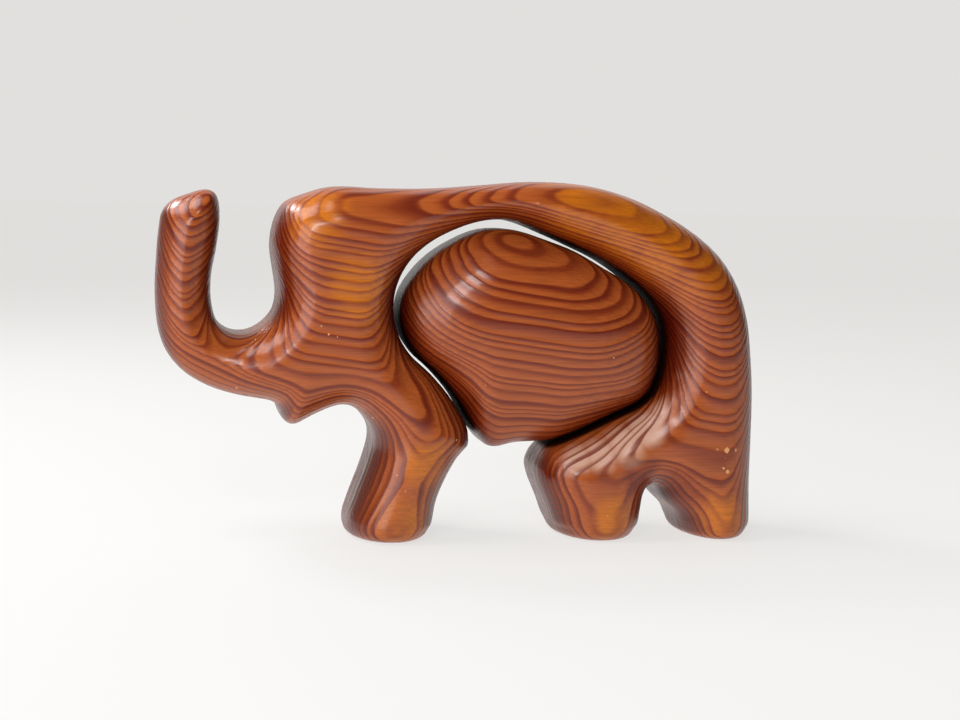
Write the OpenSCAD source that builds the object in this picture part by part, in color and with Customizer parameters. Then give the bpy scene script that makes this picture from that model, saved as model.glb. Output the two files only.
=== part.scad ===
// Two-piece carved elephant: an outer elephant sawn from one thick board, and the loose
// belly piece that was sawn out of its middle and sits back in the opening.
// +X runs from trunk to rump, +Z is up, and Y = 0 is the middle of the board.
// The origin is on the floor, midway between the trunk and the rump.

/* [Board] */
// Length from the trunk to the rump
figure_length = 200; // [150:5:300]
// Thickness of the board that both pieces are sawn from
board_thickness = 48; // [40:1:56]

/* [Sanding] */
// How far in from the sawn outline the rounding of the outer elephant reaches
edge_round = 14; // [11:1:15]
// Width of the sawn edge that is left straight in the middle of the board
straight_edge = 14; // [8:1:20]
// Height of the small rounding around each sole
sole_round = 4.5; // [3:0.5:6]
// How much thinner the trunk is sanded on each side
trunk_taper = 5; // [0:0.5:8]

/* [Fit] */
// Width of the saw cut between the two pieces, with its sanding
saw_cut = 2; // [1.8:0.1:2.6]
// How far the belly piece has dropped in its opening
belly_drop = 1.5; // [1:0.1:1.6]

/* [Hidden] */

wood = "sienna";
design_length = 200;            // the length that the outlines below are drawn at
size = figure_length / design_length;
half_board = board_thickness / 2;
half_straight = straight_edge / 2;
sample_step = 3;                // spacing of the points along a sawn outline
bands = 6;                      // steps from the sawn edge to the end of the rounding
dome_bands = 9;                 // steps from the belly piece's edge to the top of its dome
feet = [[-38, -8.6], [32.4, 61.8], [76, 100.6]]; // from the front to the back of each sole
foot_ease = 0.26;               // inset of a sole's rounding, as a share of the foot
trunk_start = -58;              // the trunk is thinner to the left of this
trunk_run = 30;                 // length over which it thins
dome_axis = [[9, 68], [32, 66.5]]; // middle line of the belly piece's dome
dome_share = 0.94;              // how near to that line the dome's last ring comes

// The sawn outlines are [x, z] in millimetres, with the wood on the left hand of travel.

// Opening for the belly piece, from the elbow of the front leg over the top to the shelf
opening_wall = [
    [3, 31.9], [2.7, 36.3], [-2.9, 46], [-10.1, 54.4], [-16.7, 60.3], [-20.8, 66.7],
    [-22.8, 73.8], [-22.2, 82.4], [-18.4, 90.6], [-11.8, 97.1], [-2.6, 102.1], [5.9, 104.9],
    [12.9, 105.6], [19, 104.6], [28.1, 101.2], [38.1, 97], [47.8, 92.5], [56.7, 86.8],
    [63.9, 80.4], [68.4, 72.8], [69.7, 64.6], [68.9, 56], [66.1, 49], [61.2, 44.4],
    [52.3, 40.2], [42.4, 35.5], [33.4, 31.6]
];

// Belly piece over its top, between the same two ends, before the saw cut's width and its
// sanding come off. Its front shoulder is sanded away more, so the gap is widest there
belly_top = [
    [3, 31.9], [2.7, 36.3], [-2.9, 46], [-10.1, 54.4], [-16.7, 60.3], [-20.8, 66.7],
    [-22.6, 73.8], [-21.6, 82.2], [-17, 89.8], [-11, 96], [-2.4, 101.5], [5.9, 104.9],
    [12.9, 105.6], [19, 104.9], [28.5, 102], [38.6, 98.3], [48.1, 93.1], [57.3, 87.8],
    [64.4, 81], [68.6, 73], [69.7, 64.6], [68.9, 56], [66.1, 49], [61.2, 44.4],
    [52.3, 40.2], [42.4, 35.5], [33.4, 31.6]
];

// Hind legs, the arch between them and the rump's foot, all sawn long and cut at the floor
hind_legs = [
    [30.5, 30.1], [28.1, 27.7], [27, 25.6], [26, 22.6], [26.9, 18.2], [30.3, 10.2],
    [32.7, 2.8], [33, -3.2], [33.9, -10.2], [36.4, -16.2], [42.5, -19], [54.5, -18.8],
    [60, -15.7], [61.3, -9.6], [61.6, -2.6], [61.7, 3.4], [62.5, 10.4], [63.7, 16.1],
    [65.6, 17.2], [67.5, 16.2], [70.2, 12.2], [75.7, 6.6], [77.1, -1.3], [78.7, -9.3],
    [81.4, -15.2], [86.5, -18.1], [93.5, -18], [98.4, -14.9], [100.2, -6.8], [100.6, 3.2]
];

// Rump, back and the top of the head
back = [
    [100.2, 19.2], [100.3, 35.2], [100.2, 49.2], [99.2, 62.2], [97.6, 73.8], [93.8, 85],
    [87.7, 94.3], [79.3, 101.7], [68.1, 108.4], [54.9, 114.2], [40.7, 117.5], [23.6, 118.3],
    [5.6, 116.7], [-10.3, 115.4], [-28.3, 115.1], [-43.3, 115.3], [-52.1, 112.8]
];

// Forehead, inside and tip of the trunk, outside of the trunk and the chin
head = [
    [-58.6, 109.8], [-61.9, 103.7], [-63.1, 95.8], [-62, 87.8], [-60.9, 79.8],
    [-62.2, 73.8], [-66.3, 69.5], [-70.9, 67.4], [-75.8, 67.6], [-80.3, 70.6],
    [-82.4, 77.4], [-82.6, 85.4], [-80.9, 95.4], [-80, 104.4], [-80.5, 110.2],
    [-82, 113], [-85.3, 113.6], [-90.1, 112], [-94.7, 110.2], [-98.3, 106.6],
    [-99.5, 100.5], [-100.2, 91], [-100.5, 79], [-99.2, 67.3], [-96.1, 60.1], [-90.5, 54.1],
    [-82.8, 49.8], [-73.5, 47], [-66.7, 45.9], [-61.2, 44.6], [-59.5, 40.3], [-57.4, 37.8],
    [-54.7, 37.5], [-52.3, 38.8], [-46.5, 41.8], [-40.2, 44], [-35.6, 43.3], [-32.2, 40.2],
    [-29.4, 36.2]
];

// Front leg: its front, its lower end and its back up to the elbow
front_leg = [
    [-28.9, 31.5], [-30.9, 23.7], [-34.3, 14.3], [-37.1, 5.8], [-37.5, -0.7], [-38.2, -7.7],
    [-37, -15.7], [-31.5, -20.6], [-15.5, -20.2], [-10.6, -15.1], [-9.4, -7.1],
    [-8.8, -0.1], [-8.6, 5.2], [-7.5, 12.3], [-4.3, 20.3], [-0.6, 26.8], [1.9, 29.6],
    [3.2, 30.8]
];

// Its underside, from the shelf to its point beside the front leg
belly_under = [
    [30.9, 31.9], [23.4, 31.5], [17.5, 31], [13.5, 29.9], [10, 29.8], [8, 31.3]
];

// Helpers for numbers and for points in the plane
function unit(v) = v / norm(v);
function left_of(v) = [-v[1], v[0]];
function between(a, b, share) = a + (b - a) * share;
function ramp(t) = let (u = min(1, max(0, t))) u * u * (3 - 2 * u);

// Distance from the board's middle to the surface, where a quarter round of the given reach
// climbs from the straight edge to the face, at a distance in from the edge
function surface_height(inset, reach, face) =
    let (left = 1 - min(1, inset / reach))
    half_straight + (face - half_straight) * sqrt(1 - left * left);

// One span of a smooth curve from b to c, with its neighbours a and d (centripetal spline)
function span(a, b, c, d, count) =
    let (
        u = sqrt(norm(b - a)),
        v = sqrt(norm(c - b)),
        w = sqrt(norm(d - c)),
        start = v * ((b - a) / u - (c - a) / (u + v)) + (c - b),
        finish = (c - b) - v * ((d - b) / (v + w) - (d - c) / w)
    )
    [for (k = [0 : count - 1])
        let (t = k / count)
        (2 * t * t * t - 3 * t * t + 1) * b + (t * t * t - 2 * t * t + t) * start
        + (3 * t * t - 2 * t * t * t) * c + (t * t * t - t * t) * finish];

// A closed smooth outline through the points
function outline(points) =
    let (n = len(points))
    [for (i = [0 : n - 1])
        let (
            b = points[i],
            c = points[(i + 1) % n],
            count = max(2, ceil(norm(c - b) / sample_step))
        )
        each span(points[(i + n - 1) % n], b, c, points[(i + 2) % n], count)];

// Directions into the wood at each point of a closed outline
function inward(edge) =
    let (n = len(edge))
    [for (i = [0 : n - 1]) unit(left_of(edge[(i + 1) % n] - edge[(i + n - 1) % n]))];

// Half the thickness of the wood before rounding: the trunk is sanded thinner
function half_depth(x) = half_board - trunk_taper * ramp((trunk_start - x) / trunk_run);

// Distance from p to the nearest point of the edge
function clearance(p, edge) = min([for (q = edge) norm(p - q)]);

// Direction away from the edge all round, which leads to the middle of the limb
function away(p, edge) =
    unit([for (q = edge) 1] * [for (q = edge) (p - q) / pow(norm(p - q), 4)]);

// The point up to a step away from p that has gained room, trying shorter steps in turn
function moved(p, step, room, edge) =
    let (next = p + away(p, edge) * step)
    step < 0.3 ? p
    : clearance(next, edge) > room + 0.65 * step ? next
    : moved(p, step / 2, room, edge);

// Points of a path that climbs from p to the middle of the limb, from band k on
function climb(p, k, edge) =
    let (
        room = clearance(p, edge),
        next = moved(p, edge_round * (1 - cos(90 * k / bands)) - room, room, edge)
    )
    k > bands ? [] : concat([next], climb(next, k + 1, edge));

// Path from a point of the outer elephant's edge over the rounding to the middle of the limb
function limb_path(p, direction, edge) =
    let (first = p + direction * edge_round * (1 - cos(90 / bands)))
    [for (at = concat([p, first], climb(first, 2, edge)))
        let (height = surface_height(clearance(at, edge), edge_round, half_depth(at[0])))
        [at[0], height, at[1]]];

// Nearest point to p on the line from a to b
function nearest_on(p, a, b) =
    a + (b - a) * min(1, max(0, (p - a) * (b - a) / ((b - a) * (b - a))));

// Path from a point of the belly piece's edge up its dome
function dome_path(p) =
    let (top = nearest_on(p, dome_axis[0], dome_axis[1]))
    [for (k = [0 : dome_bands])
        let (rise = 90 * k / dome_bands, at = between(p, top, dome_share * (1 - cos(rise))))
        [at[0], between(half_straight, half_board, sin(rise)), at[1]]];

// A solid between two faces, mirrored about the middle of the board. Each path climbs from
// the straight edge to the near face
module two_faced(paths) {
    n = len(paths);
    last = len(paths[0]) - 1;
    far_side = [for (k = [last : -1 : 0], path = paths) path[k]];
    near_side = [for (k = [0 : last], path = paths) [path[k][0], -path[k][1], path[k][2]]];
    walls = [for (k = [0 : 2 * last], i = [0 : n - 1])
        let (a = k * n + i, b = k * n + (i + 1) % n)
        each [[a, a + n, b + n], [a, b + n, b]]];
    far_face = [for (i = [0 : n - 1]) i];
    near_face = [for (i = [n - 1 : -1 : 0]) (2 * last + 1) * n + i];
    polyhedron(concat(far_side, near_side), concat(walls, [far_face, near_face]));
}

// A stretch of sawn outline moved in by the saw cut and dropped, without its two ends
function sawn_free(line) =
    [for (i = [1 : len(line) - 2])
        line[i] - unit(left_of(line[i + 1] - line[i - 1])) * saw_cut - [0, belly_drop]];

// Block that a foot is cut to: the leg's own section with a rounded lower edge
module foot(ends) {
    reach = min(edge_round, (ends[1] - ends[0]) / 2);
    hull()
    for (x = [ends[0] + reach, ends[1] - reach])
        translate([x, 0, 0])
        scale([reach, half_board, sole_round])
        rotate_extrude($fn = 48)
        polygon(concat([[0, 0]],
            [for (a = [0 : 18 : 90]) [1 - foot_ease * (1 - sin(a)), 1 - cos(a)]], [[0, 1]]));
}

module outer_elephant() {
    edge = outline(concat(opening_wall, hind_legs, back, head, front_leg));
    directions = inward(edge);
    color(wood)
    resize([figure_length, board_thickness, 0], auto = [false, false, true])
    intersection() {
        two_faced([for (i = [0 : len(edge) - 1]) limb_path(edge[i], directions[i], edge)]);
        union() {
            for (ends = feet) foot(ends);
            translate([-design_length, -board_thickness, sole_round])
                cube([2 * design_length, 2 * board_thickness, design_length]);
        }
    }
}

module belly_piece() {
    around = concat(sawn_free(belly_top), belly_under);
    edge = outline([for (i = [len(around) - 1 : -1 : 0]) around[i]]);
    color(wood) scale([size, 1, size]) two_faced([for (p = edge) dome_path(p)]);
}

outer_elephant();
belly_piece();
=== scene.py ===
"""Two-piece carved elephant: a standing elephant sawn from a thick cedar board, stained and
lacquered, with the loose domed piece of its belly resting in the opening."""

import math

import bpy
from bpy.props import FloatProperty, FloatVectorProperty, IntProperty, PointerProperty
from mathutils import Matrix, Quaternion, Vector


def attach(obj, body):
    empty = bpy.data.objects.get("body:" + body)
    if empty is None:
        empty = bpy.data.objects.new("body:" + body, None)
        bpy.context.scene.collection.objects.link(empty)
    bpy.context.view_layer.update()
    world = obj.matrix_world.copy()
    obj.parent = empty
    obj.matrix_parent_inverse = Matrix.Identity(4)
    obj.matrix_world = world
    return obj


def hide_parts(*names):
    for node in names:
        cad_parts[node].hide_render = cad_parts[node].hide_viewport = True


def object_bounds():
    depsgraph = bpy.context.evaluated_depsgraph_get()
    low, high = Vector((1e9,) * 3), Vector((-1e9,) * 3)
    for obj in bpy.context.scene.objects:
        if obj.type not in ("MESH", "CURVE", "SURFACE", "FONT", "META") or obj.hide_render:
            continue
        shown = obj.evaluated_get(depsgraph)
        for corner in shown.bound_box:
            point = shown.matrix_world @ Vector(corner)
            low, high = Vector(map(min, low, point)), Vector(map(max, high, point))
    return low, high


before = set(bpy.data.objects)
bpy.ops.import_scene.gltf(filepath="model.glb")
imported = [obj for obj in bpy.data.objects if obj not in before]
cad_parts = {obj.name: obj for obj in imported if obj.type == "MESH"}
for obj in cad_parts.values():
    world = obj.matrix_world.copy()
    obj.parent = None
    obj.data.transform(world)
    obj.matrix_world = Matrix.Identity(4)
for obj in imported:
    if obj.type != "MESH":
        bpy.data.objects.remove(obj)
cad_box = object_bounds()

bl_info = {
    "name": "Carved Cedar Elephant",
    "version": (1, 0, 0),
    "blender": (4, 5, 0),
    "location": "View3D > Sidebar > Carving",
    "description": "Builds a two-piece carved elephant in stained cedar, with its studio",
    "category": "Object",
}

MM = 0.001
ELEPHANT_BODY = "elephant"
BELLY_BODY = "belly"
GAP_WIDTH = "gap_width"
CEDAR_MATERIAL = "stained_cedar_satin_lacquer"
# Distances across the saw cut over which its painted shade sets in, and over which the painted
# shade in the hollow beside it does.
CUT_SHADE_GAPS = (3.2 * MM, 1.8 * MM)
HOLLOW_SHADE_GAPS = (13 * MM, 3 * MM)
# How far through each year's ring the wood is hardest.
HARDEST_PART = 0.8
# Places on the surface, as middles and reaches in millimetres.
# The surface runs along a ring and the stain stays golden.
HONEY_PLACES = (
    ((38, -15, 110), 15), ((52, -16, 106), 17), ((66, -17, 98), 16), ((77, -18, 88), 12),
    ((-36, -24, 82), 12), ((-19, -20, 9), 11), ((-14, -22, 26), 10), ((57, -22, 27), 5),
    ((48, -22, 8), 9), ((87, -21, 9), 9), ((-50, -20, 106), 12), ((35, 18, 108), 18),
    ((60, 22, 92), 14), ((-22, 22, 14), 14))
# The lacquer has chipped most.
CHIPPED_PLACES = (((87.2, -23.7, 30.5), 4.5), ((87.4, -23.7, 25.5), 4))
# Painted shade between the hind legs, on the last leg's side in the shadow of the leg in front and
# under the arch.
PAINTED_SHADE_PLACES = (((68.7, -13.4, 15.9), 13), ((57.8, -22.7, 22.6), 8))
# A painted highlight on the near half of the shelf under the belly piece.
PAINTED_HIGHLIGHT_PLACES = (
    ((38, -19, 27), 6), ((45, -20, 29), 7), ((53, -20, 32), 8), ((60, -21, 38), 8),
    ((64, -21, 46), 7), ((66, -21, 55), 6))
# Each softbox's place and the two sides of its front, in metres.
SOFTBOXES = {
    "overhead": ((-0.5, -0.02, 0.75), (0.5, 0.6)),
    "rim": ((-0.52, 0.48, 0.7), (0.3, 0.3)),
    "front": ((-0.27, -0.83, 0.6), (0.25, 0.25)),
    "window": ((-0.75, -0.7, 0.2), (0.8, 0.8))}
FLOOR_SIDE = 30
SENSOR_WIDTH = 36


def linear(hex_colour):
    """An sRGB hex colour as linear red, green and blue."""
    values = [int(hex_colour[i:i + 2], 16) / 255 for i in (1, 3, 5)]
    return [v / 12.92 if v <= 0.04045 else ((v + 0.055) / 1.055) ** 2.4 for v in values]


def colour_property(name, description, hex_colour):
    return FloatVectorProperty(name=name, description=description, subtype="COLOR", size=3,
                               min=0, max=1, default=linear(hex_colour))


def power_property(name, description, watts):
    return FloatProperty(name=name, description=description, unit="POWER", default=watts, min=0)


class CarvingSettings(bpy.types.PropertyGroup):
    """How the two pieces are sanded."""
    skin_step: FloatProperty(
        name="Skin step", description="Size of the squares of the sanded skin",
        unit="LENGTH", default=0.8 * MM, min=0.6 * MM, max=2 * MM)
    sanding_passes: IntProperty(
        name="Sanding passes", description="How far the sawn facets are sanded round",
        default=14, min=0, max=60)
    grain_relief: FloatProperty(
        name="Grain relief", description="How far the hard dark grain stands above the soft",
        unit="LENGTH", default=0.10 * MM, min=0, max=0.4 * MM)


class CedarSettings(bpy.types.PropertyGroup):
    """Growth rings and colours of the stained cedar that both pieces are cut from, and the colours
    of the painted shade and painted highlight on it.
    """
    ring_width: FloatProperty(
        name="Ring width", description="One year's growth", unit="LENGTH",
        default=1.6 * MM, min=1 * MM, max=6 * MM)
    pith_y: FloatProperty(
        name="Pith behind", description="How far behind the board's middle the tree's heart lies",
        unit="LENGTH", default=76 * MM)
    pith_z: FloatProperty(
        name="Pith height", description="Height of the tree's heart above the floor",
        unit="LENGTH", default=12 * MM)
    pith_fall: FloatProperty(
        name="Pith fall", description="How much the tree's heart falls from trunk to rump",
        default=0.15, min=-0.5, max=0.5)
    soft_grain: colour_property("Soft grain", "Early wood of each ring, stained", "#AB5524")
    mid_grain: colour_property("Mid grain", "Where the early wood darkens", "#8B3B18")
    hard_grain: colour_property("Hard grain", "Late wood of each ring, stained", "#6F2410")
    honey: colour_property("Honey", "Wood where the stain took lightly", "#C26A12")
    wear: colour_property("Wear", "Bare wood where the finish has flaked", "#E3A566")
    end_grain: colour_property("End grain", "How end grain tints the stain", "#9C6C5B")
    # Colour of the painted shade in the hollow beside the saw cut and between the hind legs.
    shade_tint: colour_property("Unwiped stain", "How stain that was never wiped off tints the wood",
                             "#C59A85")
    # Colour of the painted highlight on the shelf under the belly piece.
    shelf_highlight: colour_property("Scuff", "Lacquer rubbed dull on the shelf", "#D6AE99")
    # Colour of the painted shade in the saw cut between the two pieces.
    cut_shade: colour_property("Saw cut", "Dark stain in the unsanded saw cut", "#240C06")


class StageSettings(bpy.types.PropertyGroup):
    """Studio, light and camera."""
    floor_colour: colour_property("Floor", "Pale floor", "#D8D7D5")
    backdrop_colour: colour_property("Backdrop", "Far side of the room", "#E1E0DE")
    shade_colour: colour_property("Shaded side", "Dim grey-green corner of the room", "#8C9186")
    room_colour: colour_property("Room", "Dim room in front of the figure", "#403C39")
    overhead_power: power_property("Overhead light", "Softbox above, left", 5.5)
    rim_power: power_property("Rim light", "Softbox behind, above left", 4.5)
    front_power: power_property("Front light", "Small softbox in front, above", 3)
    window_power: power_property("Window light", "Large softbox in front, left", 6.2)
    camera_place: FloatVectorProperty(
        name="Camera place", description="Close to the figure, in front of its trunk",
        subtype="TRANSLATION", default=(-106 * MM, -560 * MM, 112 * MM))
    camera_aim: FloatVectorProperty(
        name="Camera aim", description="Point that the camera is turned to",
        subtype="TRANSLATION", default=(-18.3 * MM, 0, 73.7 * MM))
    camera_roll: FloatProperty(
        name="Camera roll", description="Tilt of the camera about its view",
        subtype="ANGLE", default=math.radians(1.2))
    camera_shift: FloatVectorProperty(
        name="Camera shift", description="Places the figure in the frame",
        size=2, default=(0.08, -0.05))
    lens: FloatProperty(
        name="Lens", description="Focal length on a 36 mm wide sensor, in mm",
        default=64.25, min=20)


# Node trees ---------------------------------------------------------------------------------

def add_node(tree, kind, inputs=None, **settings):
    """Adds a node, sets its properties, and sets or links its inputs by name or number."""
    node = tree.nodes.new(kind)
    for name, value in settings.items():
        setattr(node, name, value)
    for key, value in (inputs or {}).items():
        if isinstance(value, bpy.types.NodeSocket):
            tree.links.new(value, node.inputs[key])
        else:
            node.inputs[key].default_value = value
    return node


def maths(tree, operation, *values):
    """Result of a maths node. Each value is a socket or a number."""
    return add_node(tree, "ShaderNodeMath", dict(enumerate(values)), operation=operation).outputs[0]


def smooth_range(tree, value, start, stop):
    """Rises softly from 0 where the value is at the start to 1 where it is at the stop."""
    return add_node(tree, "ShaderNodeMapRange", {0: value, 1: start, 2: stop},
                    interpolation_type="SMOOTHSTEP").outputs[0]


def stretch(tree, place, factors):
    return add_node(tree, "ShaderNodeVectorMath", {0: place, 1: factors},
                    operation="MULTIPLY").outputs[0]


def noise(tree, place, scale, detail, roughness=0.5):
    """Noise from 0 to 1 with about one swell in every 1 / scale millimetres."""
    return add_node(tree, "ShaderNodeTexNoise", {"Vector": place, "Scale": scale, "Detail": detail,
                                                 "Roughness": roughness}).outputs[0]


def growth_rings(tree, position, cedar):
    """Nodes that count the growth rings out from the tree's heart at a position in metres.
    The same nodes serve a material and a modifier, so colour and relief agree."""
    millimetres = add_node(tree, "ShaderNodeVectorMath", {0: position, "Scale": 1 / MM},
                           operation="SCALE").outputs[0]
    # The trunk grew with slow swells along its length and small ripples across it.
    stretched = stretch(tree, millimetres, (0.22, 1, 1))
    swell = noise(tree, stretched, 1 / 42, 1.0, 0.4)
    ripple = noise(tree, stretched, 1 / 9, 1.0)
    swell_shift = maths(tree, "MULTIPLY_ADD", swell, 5.0, -2.5)
    shift = maths(tree, "MULTIPLY_ADD", ripple, 0.9, swell_shift)
    place = add_node(tree, "ShaderNodeSeparateXYZ", {0: millimetres})
    heart_z = maths(tree, "MULTIPLY_ADD", place.outputs[0], -cedar.pith_fall, cedar.pith_z / MM)
    across = maths(tree, "SUBTRACT", place.outputs[1], cedar.pith_y / MM)
    up = maths(tree, "SUBTRACT", place.outputs[2], heart_z)
    from_heart = add_node(tree, "ShaderNodeCombineXYZ", {1: across, 2: up})
    radius = add_node(tree, "ShaderNodeVectorMath", {0: from_heart.outputs[0]},
                      operation="LENGTH").outputs[1]
    # Good and bad years: neighbouring rings differ in width.
    years = add_node(tree, "ShaderNodeTexNoise",
                     {"W": radius, "Scale": 1 / 6, "Detail": 1.0}, noise_dimensions="1D")
    uneven = maths(tree, "MULTIPLY_ADD", years.outputs[0], 4.0, radius)
    warped = maths(tree, "ADD", uneven, shift)
    return millimetres, maths(tree, "DIVIDE", warped, cedar.ring_width / MM)


def ramp(tree, factor, *stops):
    """A grey ramp through (position, value) stops."""
    node = add_node(tree, "ShaderNodeValToRGB", {0: factor})
    elements = node.color_ramp.elements
    while len(elements) < len(stops):
        elements.new(0.5)
    for element, (position, value) in zip(elements, stops):
        element.position = position
        element.color = (*grey(value), 1)
    return node.outputs[0]


def grey(value):
    return (value, value, value)


def mix_colour(tree, share, first, second, blend="MIX"):
    """Mixes two colours. Each is a socket or linear red, green and blue."""
    first, second = (c if isinstance(c, bpy.types.NodeSocket) else (*c, 1) for c in (first, second))
    return add_node(tree, "ShaderNodeMix", {0: share, 6: first, 7: second}, data_type="RGBA",
                    blend_type=blend).outputs[2]


def tinted(tree, colour, tint):
    return mix_colour(tree, 1.0, colour, tint, "MULTIPLY")


def patches(tree, millimetres, places):
    """Nodes for soft patches with ragged edges: 1 near any of the places, falling to 0."""
    ragged = noise(tree, millimetres, 1 / 14, 3.0)
    patch = 0.0
    for place, reach in places:
        away = add_node(tree, "ShaderNodeVectorMath", {0: millimetres, 1: place},
                        operation="DISTANCE").outputs["Value"]
        uneven = maths(tree, "MULTIPLY_ADD", ragged, reach, away)
        near = smooth_range(tree, uneven, 1.7 * reach, 0.9 * reach)
        patch = maths(tree, "MAXIMUM", near, patch)
    return patch


def wear_flecks(tree, millimetres):
    """Nodes for the few small flecks where the lacquer has chipped, in loose clusters. They are
    larger and closer together where it has chipped most."""
    ragged = noise(tree, millimetres, 1.1, 2.0)
    spot = add_node(tree, "ShaderNodeTexVoronoi", {"Vector": millimetres, "Scale": 1 / 3.2})
    bruise = patches(tree, millimetres, CHIPPED_PLACES)
    edge = maths(tree, "MULTIPLY_ADD", ragged, 0.35, spot.outputs["Distance"])
    speck = ramp(tree, maths(tree, "MULTIPLY_ADD", bruise, -0.2, edge), (0.25, 1.0), (0.29, 0.0))
    lot = add_node(tree, "ShaderNodeSeparateColor", {0: spot.outputs["Color"]}).outputs[0]
    chosen = ramp(tree, maths(tree, "MAXIMUM", lot, bruise), (0.60, 0.0), (0.62, 1.0))
    scattered = ramp(tree, noise(tree, millimetres, 1 / 16, 1.0), (0.63, 0.0), (0.66, 1.0))
    cluster = maths(tree, "MAXIMUM", bruise, scattered)
    return maths(tree, "MULTIPLY", maths(tree, "MULTIPLY", speck, chosen), cluster)


def stained_cedar_material(cedar):
    """Cedar, sawn, sanded and rubbed with a red-brown stain under satin lacquer: bold dark
    lines of hard late wood on soft orange-brown early wood, with a soft broad shine."""
    material = bpy.data.materials.new(CEDAR_MATERIAL)
    material.use_nodes = True
    tree = material.node_tree
    tree.nodes.clear()
    position = add_node(tree, "ShaderNodeTexCoord").outputs["Object"]
    millimetres, count = growth_rings(tree, position, cedar)
    part = maths(tree, "FRACT", count)
    year = maths(tree, "FLOOR", count)
    chance = add_node(tree, "ShaderNodeTexWhiteNoise", {"W": year}, noise_dimensions="1D")
    hardness = ramp(tree, part, (0.0, 0.0), (0.25, 0.1), (0.55, 0.5), (0.78, 1.0), (0.88, 0.95),
                    (1.0, 0.0))
    late = maths(tree, "MULTIPLY", hardness,
                 maths(tree, "MULTIPLY_ADD", chance.outputs[0], 0.5, 0.55))
    # Fibres run along the tree, far longer than they are thick.
    fibre = noise(tree, stretch(tree, millimetres, (0.05, 1.6, 1.6)), 1.0, 3.0, 0.6)
    golden = patches(tree, millimetres, HONEY_PLACES)
    line = maths(tree, "MULTIPLY", late, maths(tree, "MULTIPLY_ADD", golden, -0.6, 1.0))
    base = mix_colour(tree, golden, cedar.soft_grain, cedar.honey)
    mid = mix_colour(tree, ramp(tree, line, (0.0, 0.0), (0.5, 1.0)), base, cedar.mid_grain)
    dark = mix_colour(tree, ramp(tree, line, (0.4, 0.0), (1.0, 1.0)), mid, cedar.hard_grain)
    wood = tinted(tree, dark, ramp(tree, fibre, (0.3, 0.8), (0.7, 1.14)))
    # End grain, where the surface faces along the tree, drinks the most stain.
    outward = add_node(tree, "ShaderNodeNewGeometry").outputs["Normal"]
    along_x, _, along_z = add_node(tree, "ShaderNodeSeparateXYZ", {0: outward}).outputs
    end_grain = smooth_range(tree, maths(tree, "ABSOLUTE", along_x), 0.5, 0.95)
    soaked = mix_colour(tree, end_grain, grey(1.0), cedar.end_grain)
    # Near the saw cut the colour is painted shade, nearly black, and the lacquer is thin. In the
    # hollow beside it, on the sides that face down, painted shade darkens the wood.
    gap = add_node(tree, "ShaderNodeAttribute", attribute_name=GAP_WIDTH).outputs["Fac"]
    sawn = smooth_range(tree, gap, *CUT_SHADE_GAPS)
    hollow = smooth_range(tree, gap, *HOLLOW_SHADE_GAPS)
    # Painted shade on the sides that face down in the hollow, and at the listed places between the
    # hind legs.
    faces_down = add_node(tree, "ShaderNodeMapRange", {0: along_z, 1: 0.35, 2: -0.3}).outputs[0]
    painted_shade = maths(tree, "MAXIMUM", patches(tree, millimetres, PAINTED_SHADE_PLACES),
                       maths(tree, "MULTIPLY", hollow, faces_down))
    shade_tint = mix_colour(tree, painted_shade, grey(1.0), cedar.shade_tint)
    stained = tinted(tree, tinted(tree, wood, soaked), shade_tint)
    # A painted highlight on the shelf under the belly piece, pale mostly on the soft grain between
    # the dark lines.
    rubbed = maths(tree, "MULTIPLY", patches(tree, millimetres, PAINTED_HIGHLIGHT_PLACES),
                   ramp(tree, line, (0.15, 0.8), (0.6, 0.1)))
    highlighted = mix_colour(tree, rubbed, stained, cedar.shelf_highlight)
    worn = wear_flecks(tree, millimetres)
    flecked = mix_colour(tree, worn, highlighted, cedar.wear)
    # Painted shade, nearly black, in the saw cut between the two pieces.
    colour = mix_colour(tree, sawn, flecked, cedar.cut_shade)
    height = maths(tree, "MULTIPLY_ADD", fibre, 0.3, late)
    chipped = maths(tree, "MULTIPLY_ADD", worn, -1.5, height)
    bump = add_node(tree, "ShaderNodeBump",
                    {"Height": chipped, "Strength": 0.35, "Distance": 0.12 * MM}).outputs[0]
    lacquer = add_node(tree, "ShaderNodeMapRange", {0: sawn, 3: 1.0, 4: 0.1}).outputs[0]
    shader = add_node(tree, "ShaderNodeBsdfPrincipled", {
        "Base Color": colour, "Normal": bump, "Coat Normal": bump, "Roughness": 0.6, "IOR": 1.5,
        "Specular IOR Level": 0.0, "Coat Weight": lacquer, "Coat Roughness": 0.26, "Coat IOR": 1.5})
    add_node(tree, "ShaderNodeOutputMaterial", {0: shader.outputs[0]})
    return material


def cedar_material(cedar):
    """The one cedar material, made the first time that a piece asks for it."""
    return bpy.data.materials.get(CEDAR_MATERIAL) or stained_cedar_material(cedar)


# Pieces -------------------------------------------------------------------------------------

def select_only(piece):
    bpy.ops.object.select_all(action="DESELECT")
    piece.select_set(True)
    bpy.context.view_layer.objects.active = piece


def apply_modifier(piece, kind, **settings):
    """Adds one modifier to the piece and applies it."""
    select_only(piece)
    bpy.ops.object.modifier_add(type=kind)
    modifier = piece.modifiers[-1]
    for name, value in settings.items():
        setattr(modifier, name, value)
    bpy.ops.object.modifier_apply(modifier=modifier.name)


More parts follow.
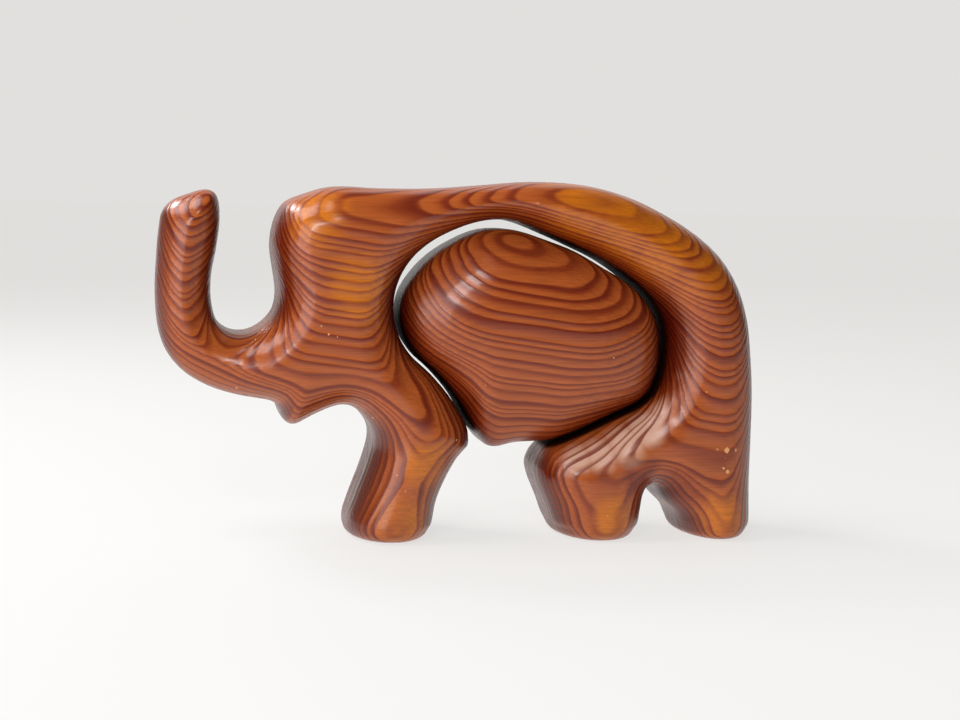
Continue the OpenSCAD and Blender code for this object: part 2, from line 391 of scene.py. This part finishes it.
def grain_group(cedar, height, neighbour):
    """Geometry nodes that sink the soft grain a little below the hard, and that keep, at every
    point of the skin, the distance to the neighbouring piece across the saw cut."""
    tree = bpy.data.node_groups.new("raised_grain", "GeometryNodeTree")
    tree.interface.new_socket("Geometry", in_out="INPUT", socket_type="NodeSocketGeometry")
    tree.interface.new_socket("Geometry", in_out="OUTPUT", socket_type="NodeSocketGeometry")
    skin = add_node(tree, "NodeGroupInput").outputs[0]
    position = add_node(tree, "GeometryNodeInputPosition").outputs[0]
    normal = add_node(tree, "GeometryNodeInputNormal").outputs[0]
    count = growth_rings(tree, position, cedar)[1]
    turn = maths(tree, "MULTIPLY_ADD", count, math.tau, -HARDEST_PART * math.tau)
    lift = maths(tree, "MULTIPLY_ADD", maths(tree, "COSINE", turn), height / 2, -height / 2)
    offset = add_node(tree, "ShaderNodeVectorMath", {0: normal, "Scale": lift},
                      operation="SCALE").outputs[0]
    moved = add_node(tree, "GeometryNodeSetPosition", {"Geometry": skin, "Offset": offset})
    other = add_node(tree, "GeometryNodeObjectInfo", {"Object": neighbour})
    nearest = add_node(tree, "GeometryNodeProximity", {0: other.outputs["Geometry"]},
                       target_element="FACES")
    kept = add_node(tree, "GeometryNodeStoreNamedAttribute",
                    {"Geometry": moved.outputs[0], "Name": GAP_WIDTH,
                     "Value": nearest.outputs["Distance"]}, data_type="FLOAT", domain="POINT")
    add_node(tree, "NodeGroupOutput", {0: kept.outputs[0]})
    return tree


def sanded_copy(node, neighbour, name, settings):
    """A copy of a CAD node with an even skin, its facets sanded round and its grain raised."""
    carving = settings.carving
    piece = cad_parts[node].copy()
    piece.data = piece.data.copy()
    for key in list(piece.keys()):
        del piece[key]
    piece.parent = None
    piece.name = name
    piece.data.name = name
    bpy.context.scene.collection.objects.link(piece)
    select_only(piece)
    bpy.ops.object.mode_set(mode="EDIT")
    bpy.ops.mesh.select_all(action="SELECT")
    bpy.ops.mesh.remove_doubles(threshold=0.001 * MM)
    bpy.ops.object.mode_set(mode="OBJECT")
    apply_modifier(piece, "REMESH", mode="VOXEL", voxel_size=carving.skin_step)
    apply_modifier(piece, "SMOOTH", factor=0.5, iterations=carving.sanding_passes)
    group = grain_group(settings.cedar, carving.grain_relief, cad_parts[neighbour])
    apply_modifier(piece, "NODES", node_group=group)
    select_only(piece)
    bpy.ops.object.shade_smooth()
    piece.data.materials.clear()
    piece.data.materials.append(cedar_material(settings.cedar))
    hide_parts(node)
    return piece


class CARVING_OT_outer_elephant(bpy.types.Operator):
    """Outer elephant: head, trunk, back and legs in one piece of wood"""
    bl_idname = "carving.outer_elephant"
    bl_label = "Outer elephant"

    def execute(self, context):
        piece = sanded_copy("outer_elephant", "belly_piece", "cedar_elephant",
                            context.scene.carved_elephant)
        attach(piece, ELEPHANT_BODY)
        return {"FINISHED"}


class CARVING_OT_belly_piece(bpy.types.Operator):
    """Loose domed belly piece that rests in the opening"""
    bl_idname = "carving.belly_piece"
    bl_label = "Belly piece"

    def execute(self, context):
        piece = sanded_copy("belly_piece", "outer_elephant", "cedar_belly",
                            context.scene.carved_elephant)
        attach(piece, BELLY_BODY)
        return {"FINISHED"}


# Stage --------------------------------------------------------------------------------------

def plain_material(name, colour):
    """Matt board that glows as a light table does, so that it stays pale to its far edge."""
    material = bpy.data.materials.new(name)
    material.use_nodes = True
    shader = material.node_tree.nodes["Principled BSDF"]
    shader.inputs["Base Color"].default_value = (*grey(0.18), 1)
    shader.inputs["Roughness"].default_value = 0.9
    shader.inputs["Emission Color"].default_value = (*colour, 1)
    shader.inputs["Emission Strength"].default_value = 1.0
    return material


def facing(position, target):
    """Rotation that points a camera or light from a position at a target."""
    return (Vector(target) - Vector(position)).to_track_quat("-Z", "Y").to_euler()


def add_softbox(name, position, target, size, power):
    bpy.ops.object.light_add(type="AREA", location=position, rotation=facing(position, target))
    light = bpy.context.object
    light.name = name
    light.data.shape = "RECTANGLE"
    light.data.size, light.data.size_y = size
    light.data.energy = power
    return light


def room_world(stage):
    """Surroundings that change softly with direction: pale behind the figure, dim in front."""
    world = bpy.data.worlds.new("soft_room")
    world.use_nodes = True
    tree = world.node_tree
    direction = add_node(tree, "ShaderNodeTexCoord").outputs["Generated"]

    def toward(way, start, stop):
        turned = add_node(tree, "ShaderNodeVectorMath", {0: direction, 1: Vector(way).normalized()},
                          operation="DOT_PRODUCT").outputs["Value"]
        return smooth_range(tree, turned, start, stop)

    behind = mix_colour(tree, toward((0.2, 1, 0.05), 0.6, 0.85), stage.room_colour,
                        stage.backdrop_colour)
    room = mix_colour(tree, toward((-0.8, 0.6, 0), 0.76, 0.9), behind, stage.shade_colour)
    tree.links.new(room, tree.nodes["Background"].inputs["Color"])
    return world


class CARVING_OT_stage(bpy.types.Operator):
    """Pale floor, soft studio light and the camera"""
    bl_idname = "carving.stage"
    bl_label = "Stage"

    def execute(self, context):
        stage = context.scene.carved_elephant.stage
        low, high = cad_box
        middle = (low + high) / 2
        bpy.ops.object.select_all(action="DESELECT")
        bpy.ops.mesh.primitive_plane_add(size=FLOOR_SIDE, location=(middle.x, middle.y, 0))
        floor = context.object
        floor.name = "floor"
        floor.data.materials.append(plain_material("matt_pale_floor", stage.floor_colour))
        context.scene.world = room_world(stage)
        for name, (position, size) in SOFTBOXES.items():
            power = getattr(stage, name + "_power")
            add_softbox(name + "_softbox", position, middle, size, power)
        place = Vector(stage.camera_place)
        turn = facing(place, stage.camera_aim).to_quaternion()
        roll = Quaternion((0, 0, 1), stage.camera_roll)
        bpy.ops.object.camera_add(location=place, rotation=(turn @ roll).to_euler())
        camera = context.object
        camera.name = "studio_camera"
        camera.data.sensor_width = SENSOR_WIDTH
        camera.data.lens = stage.lens
        camera.data.shift_x, camera.data.shift_y = stage.camera_shift
        context.scene.camera = camera
        context.scene.view_settings.view_transform = "Standard"
        return {"FINISHED"}


# Add-on -------------------------------------------------------------------------------------

class CarvedElephantSettings(bpy.types.PropertyGroup):
    """All that a user would change."""
    carving: PointerProperty(type=CarvingSettings)
    cedar: PointerProperty(type=CedarSettings)
    stage: PointerProperty(type=StageSettings)


BUILDERS = (CARVING_OT_outer_elephant, CARVING_OT_belly_piece, CARVING_OT_stage)


class VIEW3D_PT_carved_elephant(bpy.types.Panel):
    """Lists the elephant's sizes, colours and operators"""
    bl_idname = "VIEW3D_PT_carved_elephant"
    bl_label = "Carved elephant"
    bl_space_type = "VIEW_3D"
    bl_region_type = "UI"
    bl_category = "Carving"

    def draw(self, context):
        settings = context.scene.carved_elephant
        for group in (settings.carving, settings.cedar, settings.stage):
            box = self.layout.box()
            for name in group.__annotations__:
                box.prop(group, name)
        for builder in BUILDERS:
            self.layout.operator(builder.bl_idname)


CLASSES = (CarvingSettings, CedarSettings, StageSettings, CarvedElephantSettings, *BUILDERS,
           VIEW3D_PT_carved_elephant)


def register():
    for cls in CLASSES:
        bpy.utils.register_class(cls)
    bpy.types.Scene.carved_elephant = PointerProperty(type=CarvedElephantSettings)


def unregister():
    del bpy.types.Scene.carved_elephant
    for cls in reversed(CLASSES):
        bpy.utils.unregister_class(cls)


def main():
    register()
    bpy.ops.carving.stage()
    bpy.ops.carving.outer_elephant()
    bpy.ops.carving.belly_piece()


if __name__ == "__main__":
    main()
